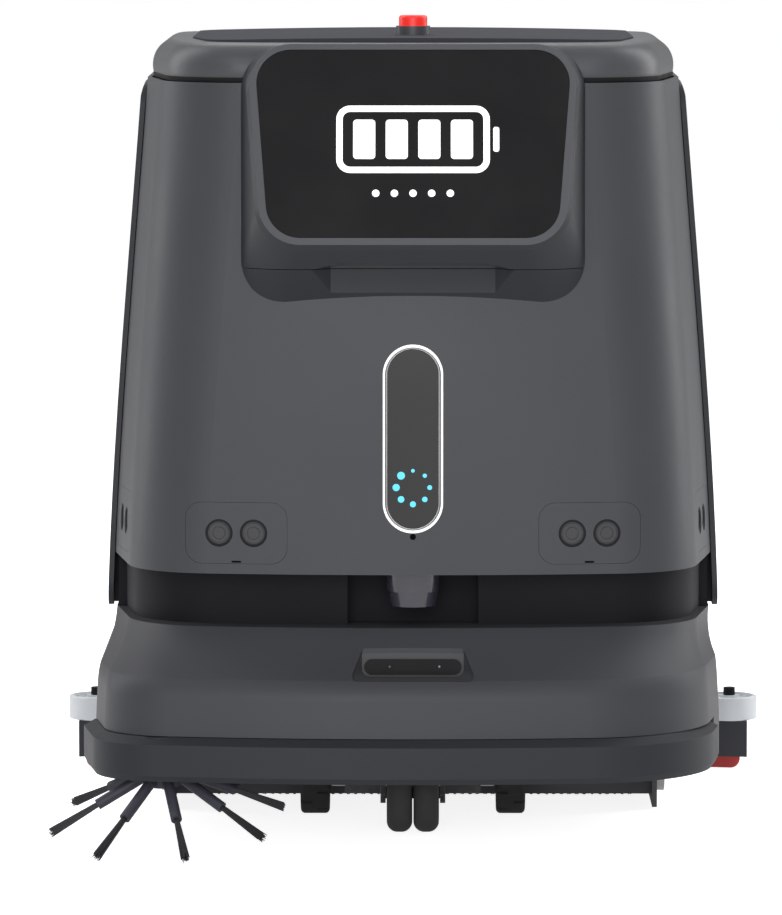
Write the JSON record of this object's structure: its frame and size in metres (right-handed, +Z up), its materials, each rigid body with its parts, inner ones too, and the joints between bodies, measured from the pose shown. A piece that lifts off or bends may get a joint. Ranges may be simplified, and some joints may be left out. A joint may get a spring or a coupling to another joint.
{
  "type": "floor scrubbing robot",
  "caption": "Autonomous floor-scrubbing robot: tapered grey body, hinged lid with tilted screen, sprung bumper, side brush, lifting roller deck and squeegee, drive wheels and swivel casters.",
  "frame": {"origin": "on the floor below the middle of the whole machine's bounding box", "axes": "+Z up, front towards -Y, +X to the right when looking at the front from -Y"},
  "size_m": [0.652, 0.6715, 0.7213],
  "materials": {
    "shell_grey": "fine textured",
    "lid_grey": "fine textured",
    "head_grey": "satin",
    "bezel_grey": "satin",
    "screen_black": "gloss",
    "trim_black": "matt",
    "light_white": "gloss",
    "panel_grey": "satin",
    "scanner_violet": "gloss",
    "stop_red": "gloss",
    "hood_grey": "fine textured",
    "bumper_grey": "matt",
    "steel": "brushed",
    "plate_steel": "matt",
    "wheel_grey": "matt",
    "tyre_black": "matt",
    "hub_grey": "satin",
    "bristle_dark": "matt",
    "bristle_grey": "matt",
    "cap_pale": "satin",
    "blade_red": "matt",
    "guard_white": "satin",
    "tank_pale": "satin",
    "battery_blue": "satin",
    "brass": "polished"
  },
  "bodies": {
    "chassis": {"front_shell": "shell_grey", "rear_cover": "shell_grey", "side_cover_left": "shell_grey", "side_cover_right": "shell_grey", "screen_chin": "head_grey", "light_ring": "light_white", "light_panel": "panel_grey", "sonar_panels": "panel_grey", "sonar_transducers": "trim_black", "neck": "trim_black", "scanner_window": "scanner_violet", "scanner_cap": "trim_black", "hinge_pins": "steel", "lower_hood": "hood_grey", "camera_pocket": "panel_grey", "camera_window": "screen_black", "chassis_plate": "plate_steel", "drive_motors": "steel", "side_brush_motor": "plate_steel", "tank_shelf": "plate_steel", "clean_tank": "tank_pale", "waste_tank": "tank_pale", "tank_caps": "trim_black", "battery": "battery_blue", "control_box": "trim_black", "vacuum_motor": "trim_black", "charge_contacts": "brass"},
    "lid": {"top_lid": "lid_grey", "lid_panel": "lid_grey", "stop_collar": "trim_black", "screen_housing": "head_grey", "screen_bezel": "bezel_grey", "screen_glass": "screen_black"},
    "stop": {"stop_button": "stop_red"},
    "bumper": {"bumper": "bumper_grey"},
    "caster": {"caster_fork": "plate_steel"},
    "caster_left": {"caster_wheel_left": "wheel_grey"},
    "caster_right": {"caster_wheel_right": "wheel_grey"},
    "drive_left": {"drive_hub_left": "hub_grey", "drive_tyre_left": "tyre_black"},
    "drive_right": {"drive_hub_right": "hub_grey", "drive_tyre_right": "tyre_black"},
    "rear_fork_left": {"rear_caster_fork_left": "plate_steel"},
    "rear_fork_right": {"rear_caster_fork_right": "plate_steel"},
    "rear_wheel_left": {"rear_caster_wheel_left": "wheel_grey"},
    "rear_wheel_right": {"rear_caster_wheel_right": "wheel_grey"},
    "side_brush": {"side_brush_hub": "hub_grey", "side_brush_bristles": "bristle_dark"},
    "deck": {"deck_housing": "trim_black", "deck_skirts": "trim_black", "deck_motor": "plate_steel", "roller_end_caps": "cap_pale"},
    "roller": {"roller_core": "hub_grey", "roller_bristles": "bristle_grey"},
    "squeegee": {"squeegee_frame": "trim_black", "squeegee_blades": "blade_red", "guard_bolts": "trim_black", "suction_pipe": "trim_black"},
    "guard_left": {"guard_roller_left": "guard_white"},
    "guard_right": {"guard_roller_right": "guard_white"}
  },
  "joints": [
    {"name": "lid_hinge", "type": "hinge", "parent": "chassis", "child": "lid", "pos_m": [0, 0.213, 0.662], "axis": [-1, 0, 0], "range_deg": [0, 75]},
    {"name": "stop_press", "type": "slide", "parent": "lid", "child": "stop", "axis": [0, 0, -1], "range_m": [0, 0.004], "stiffness_N_per_m": 3000},
    {"name": "bumper_press", "type": "slide", "parent": "chassis", "child": "bumper", "axis": [0, 1, 0], "range_m": [0, 0.008], "stiffness_N_per_m": 2500},
    {"name": "caster_swivel", "type": "hinge", "parent": "chassis", "child": "caster", "pos_m": [0, -0.147, 0.079], "axis": [0, 0, 1], "continuous": true},
    {"name": "caster_left_spin", "type": "hinge", "parent": "caster", "child": "caster_left", "pos_m": [-0.0118, -0.122, 0.0345], "axis": [1, 0, 0], "continuous": true},
    {"name": "caster_right_spin", "type": "hinge", "parent": "caster", "child": "caster_right", "pos_m": [0.0118, -0.122, 0.0345], "axis": [1, 0, 0], "continuous": true},
    {"name": "drive_left_spin", "type": "hinge", "parent": "chassis", "child": "drive_left", "pos_m": [-0.088, -0.01, 0.05], "axis": [1, 0, 0], "continuous": true},
    {"name": "drive_right_spin", "type": "hinge", "parent": "chassis", "child": "drive_right", "pos_m": [0.088, -0.01, 0.05], "axis": [1, 0, 0], "continuous": true},
    {"name": "rear_left_swivel", "type": "hinge", "parent": "chassis", "child": "rear_fork_left", "pos_m": [-0.15, 0.19, 0.079], "axis": [0, 0, 1], "continuous": true},
    {"name": "rear_right_swivel", "type": "hinge", "parent": "chassis", "child": "rear_fork_right", "pos_m": [0.15, 0.19, 0.079], "axis": [0, 0, 1], "continuous": true},
    {"name": "rear_left_spin", "type": "hinge", "parent": "rear_fork_left", "child": "rear_wheel_left", "pos_m": [-0.15, 0.206, 0.026], "axis": [1, 0, 0], "continuous": true},
    {"name": "rear_right_spin", "type": "hinge", "parent": "rear_fork_right", "child": "rear_wheel_right", "pos_m": [0.15, 0.206, 0.026], "axis": [1, 0, 0], "continuous": true},
    {"name": "side_brush_spin", "type": "hinge", "parent": "chassis", "child": "side_brush", "pos_m": [-0.213, -0.232, 0.0262], "axis": [-0.0513, -0.1942, 0.9796], "continuous": true},
    {"name": "deck_lift", "type": "slide", "parent": "chassis", "child": "deck", "axis": [0, 0, 1], "range_m": [0, 0.02]},
    {"name": "roller_spin", "type": "hinge", "parent": "deck", "child": "roller", "pos_m": [0, 0.088, 0.0355], "axis": [1, 0, 0], "continuous": true},
    {"name": "squeegee_lift", "type": "slide", "parent": "chassis", "child": "squeegee", "axis": [0, 0, 1], "range_m": [0, 0.018]},
    {"name": "guard_left_spin", "type": "hinge", "parent": "squeegee", "child": "guard_left", "pos_m": [-0.3, 0.28463, 0.057], "axis": [0, 0, 1], "continuous": true},
    {"name": "guard_right_spin", "type": "hinge", "parent": "squeegee", "child": "guard_right", "pos_m": [0.3, 0.28463, 0.057], "axis": [0, 0, 1], "continuous": true}
  ]
}
